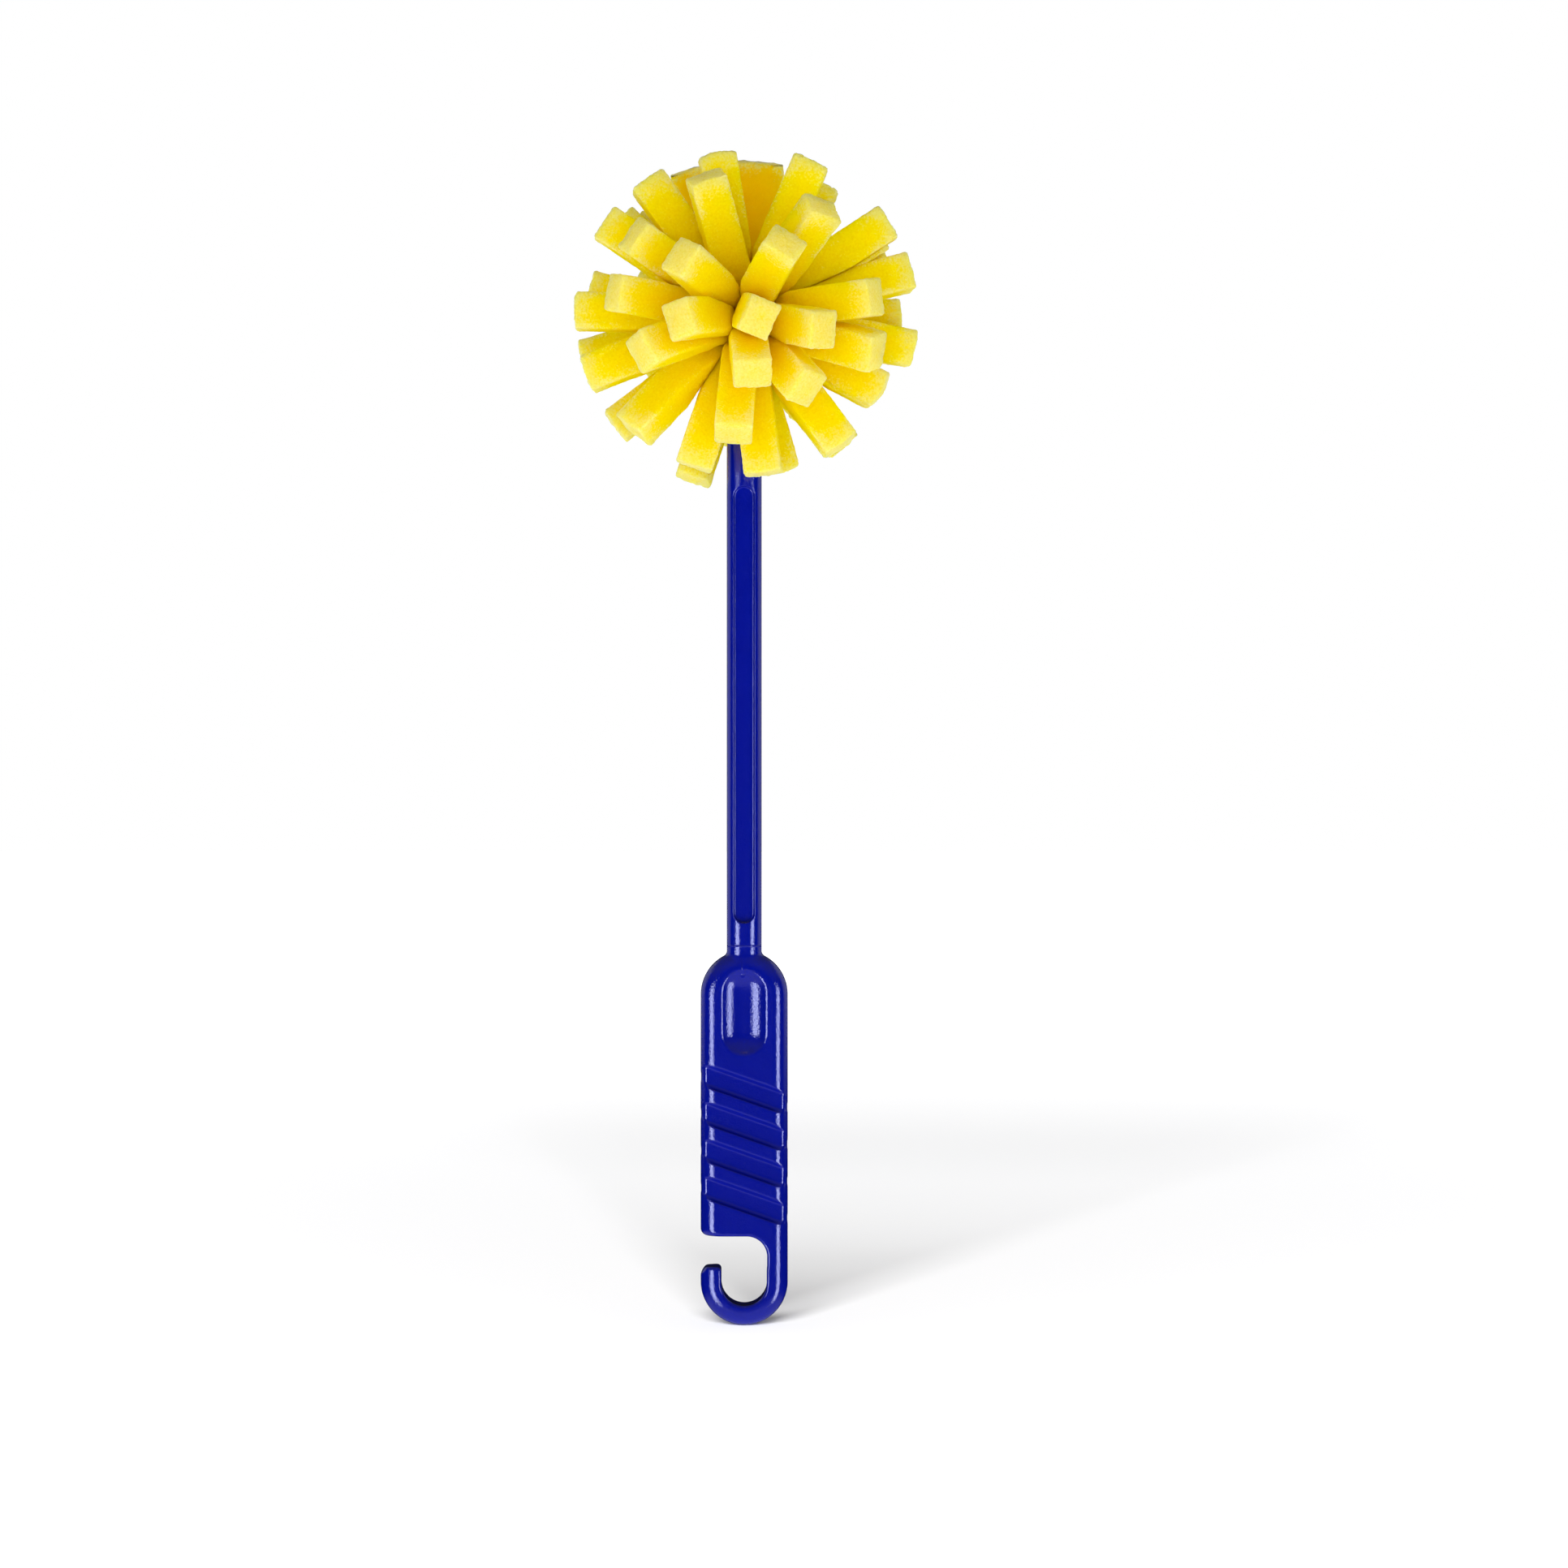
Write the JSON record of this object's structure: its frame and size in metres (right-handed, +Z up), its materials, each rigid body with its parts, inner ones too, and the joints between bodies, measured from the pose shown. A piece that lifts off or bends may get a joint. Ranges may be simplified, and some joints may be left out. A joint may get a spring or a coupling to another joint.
{
  "type": "foam strip dish mop",
  "caption": "Dish-washing mop: a ball of soft foam strips drawn through the ring eye of a long moulded plastic handle with finger grooves, a thumb rest and a hanging hook.",
  "frame": {"origin": "lowest point of the hook's outer curve, on the handle's centre line, with the mop standing upright on its hook", "axes": "+Z runs up the handle from the hook to the foam head; -Y is the front, the side with the thumb rest and the grooves; +X is to the right seen from the front, and the hook opens towards -X"},
  "size_m": [0.0934, 0.0956, 0.3194],
  "materials": {
    "handle": "glossy moulded polypropylene, deep blue",
    "foam": "open-cell polyurethane foam, bright yellow, matt, paler and fuzzy on the cut edges and ends"
  },
  "bodies": {
    "root": {"handle": "handle", "foam_slab_uncut": "foam", "foam_strip_centre": "foam", "foam_strip_inner_left": "foam", "foam_strip_inner_low": "foam", "foam_strip_inner_right": "foam", "foam_strip_inner_high": "foam", "foam_strip_inner_low_right": "foam", "foam_strip_inner_high_left": "foam", "foam_strip_inner_low_left": "foam", "foam_strip_mid_low": "foam", "foam_strip_mid_low_right": "foam", "foam_strip_mid_right": "foam", "foam_strip_mid_left": "foam", "foam_strip_mid_high_right": "foam", "foam_strip_mid_high_left": "foam", "foam_strip_rim_one_oclock": "foam", "foam_strip_rim_two_oclock": "foam", "foam_strip_rim_half_past_two": "foam", "foam_strip_rim_half_past_three": "foam", "foam_strip_rim_four_oclock": "foam", "foam_strip_rim_five_oclock": "foam", "foam_strip_rim_six_oclock": "foam", "foam_strip_rim_seven_oclock": "foam", "foam_strip_rim_half_past_seven": "foam", "foam_strip_rim_half_past_eight": "foam", "foam_strip_rim_nine_oclock": "foam", "foam_strip_rim_ten_oclock": "foam", "foam_strip_rim_eleven_oclock": "foam"}
  },
  "joints": []
}
